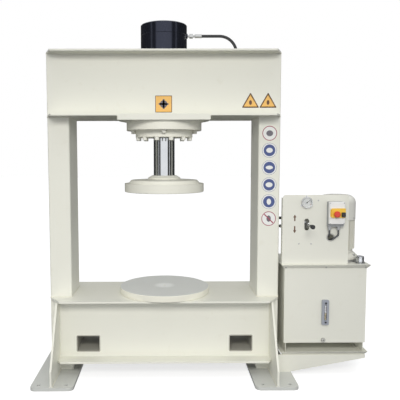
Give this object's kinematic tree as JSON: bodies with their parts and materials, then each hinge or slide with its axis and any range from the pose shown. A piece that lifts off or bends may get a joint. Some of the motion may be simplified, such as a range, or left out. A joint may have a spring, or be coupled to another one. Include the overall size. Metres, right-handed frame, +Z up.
{
  "type": "hydraulic workshop press",
  "caption": "Floor-standing H-frame hydraulic press with a cylinder under the head, round pressing plates, fork pockets and a side power unit with motor, tank and lever valve.",
  "frame": {"origin": "on the floor, midway between the four outer anchor holes of the two feet", "axes": "+X to the operator's right, towards the power unit; +Y away from the operator; +Z up"},
  "size_m": [2.1543, 0.9, 2.276],
  "materials": {
    "frame_paint": "semi-gloss enamel",
    "lower_plate_paint": "painted edge, machined grey top",
    "barrel_paint": "gloss black",
    "screw_paint": "painted over with the frame",
    "bright_steel": "turned and ground",
    "chromed_rod": "hard chrome, polished",
    "plated_fittings": "zinc plated",
    "hose_rubber": "ribbed wrap",
    "sight_plastic": "moulded",
    "plug_steel": "plain",
    "breather_metal": "pressed",
    "gauge_chrome": "polished",
    "dial_white": "matt",
    "gauge_window": "clear",
    "needle_black": "matt",
    "switch_grey": "moulded",
    "switch_white": "moulded",
    "flap_yellow": "moulded",
    "button_red": "moulded",
    "black_plastic": "moulded",
    "cable_jacket": "plain jacket",
    "motor_paint": "enamel",
    "cowl_paint": "enamel",
    "fan_plastic": "moulded",
    "cast_aluminium": "cast",
    "cast_iron": "cast"
  },
  "bodies": {
    "frame": {"bed_back_channel": "frame_paint", "bed_front_channel": "frame_paint", "bed_table": "frame_paint", "bell_housing": "cast_aluminium", "cable_glands": "black_plastic", "column_left": "frame_paint", "column_right": "frame_paint", "cylinder_barrel": "barrel_paint", "cylinder_end_cap": "barrel_paint", "cylinder_flange": "frame_paint", "cylinder_gland": "frame_paint", "drain_plug": "plug_steel", "drip_tray": "frame_paint", "fan_cowl": "cowl_paint", "flange_screws": "screw_paint", "foot_left": "frame_paint", "foot_right": "frame_paint", "fork_sleeve_left": "frame_paint", "fork_sleeve_right": "frame_paint", "gauge_case": "gauge_chrome", "gauge_dial": "dial_white", "gauge_glass": "gauge_window", "gear_pump": "cast_iron", "gland_screws": "screw_paint", "head_back_channel": "frame_paint", "head_bottom_plate": "frame_paint", "head_front_channel": "frame_paint", "head_top_plate": "frame_paint", "hose_extend": "hose_rubber", "hose_fittings": "plated_fittings", "hose_retract": "hose_rubber", "instrument_panel": "frame_paint", "level_gauge": "sight_plastic", "lower_plate": "lower_plate_paint", "motor_cable": "cable_jacket", "motor_housing": "motor_paint", "mounting_plate": "frame_paint", "oil_pipes": "plated_fittings", "supply_cable": "cable_jacket", "switch_base": "switch_grey", "switch_cover": "switch_white", "tank_body": "frame_paint", "tank_lid": "frame_paint", "terminal_box": "motor_paint", "tray_bracket": "frame_paint", "valve_block": "cast_iron"},
    "ram": {"piston": "bright_steel", "piston_rod": "chromed_rod", "pressing_plate": "frame_paint"},
    "lever": {"control_lever": "bright_steel", "lever_grip": "black_plastic"},
    "spool": {"valve_spool": "bright_steel"},
    "flap": {"stop_flap": "flap_yellow", "flap_latch": "black_plastic"},
    "button": {"stop_button": "button_red"},
    "needle": {"gauge_needle": "needle_black"},
    "rotor": {"motor_rotor": "bright_steel", "motor_fan": "fan_plastic", "pump_coupling": "bright_steel"},
    "breather": {"breather_cap": "breather_metal"}
  },
  "joints": [
    {"name": "ram_slide", "type": "slide", "parent": "frame", "child": "ram", "axis": [0, 0, 1], "range_m": [-0.25, 0.2]},
    {"name": "lever_tilt", "type": "hinge", "parent": "frame", "child": "lever", "pos_m": [0.917, -0.125, 0.985], "axis": [1, 0, 0], "range_deg": [-20, 20], "stiffness_Nm_per_rad": 6},
    {"name": "spool_slide", "type": "slide", "parent": "frame", "child": "spool", "axis": [0, 0, 1], "range_m": [-0.0106, 0.0106]},
    {"name": "flap_hinge", "type": "hinge", "parent": "frame", "child": "flap", "pos_m": [1.0535, -0.2415, 1.0625], "axis": [0, 0, -1], "range_deg": [0, 110]},
    {"name": "stop_button_press", "type": "slide", "parent": "flap", "child": "button", "axis": [0, 1, 0], "range_m": [0, 0.005], "stiffness_N_per_m": 2000},
    {"name": "needle_turn", "type": "hinge", "parent": "frame", "child": "needle", "pos_m": [0.913, -0.194, 1.126], "axis": [0, 1, 0], "range_deg": [-187, 83]},
    {"name": "motor_spin", "type": "hinge", "parent": "frame", "child": "rotor", "pos_m": [1.165, 0, 0.9], "axis": [0, 0, 1], "continuous": true},
    {"name": "breather_turn", "type": "hinge", "parent": "frame", "child": "breather", "pos_m": [1.28, -0.142, 0.74], "axis": [0, 0, 1], "range_deg": [0, 45]}
  ],
  "couplings": [
    {"joint": "spool_slide", "follows": "lever_tilt", "m_per_rad": 0.03}
  ]
}
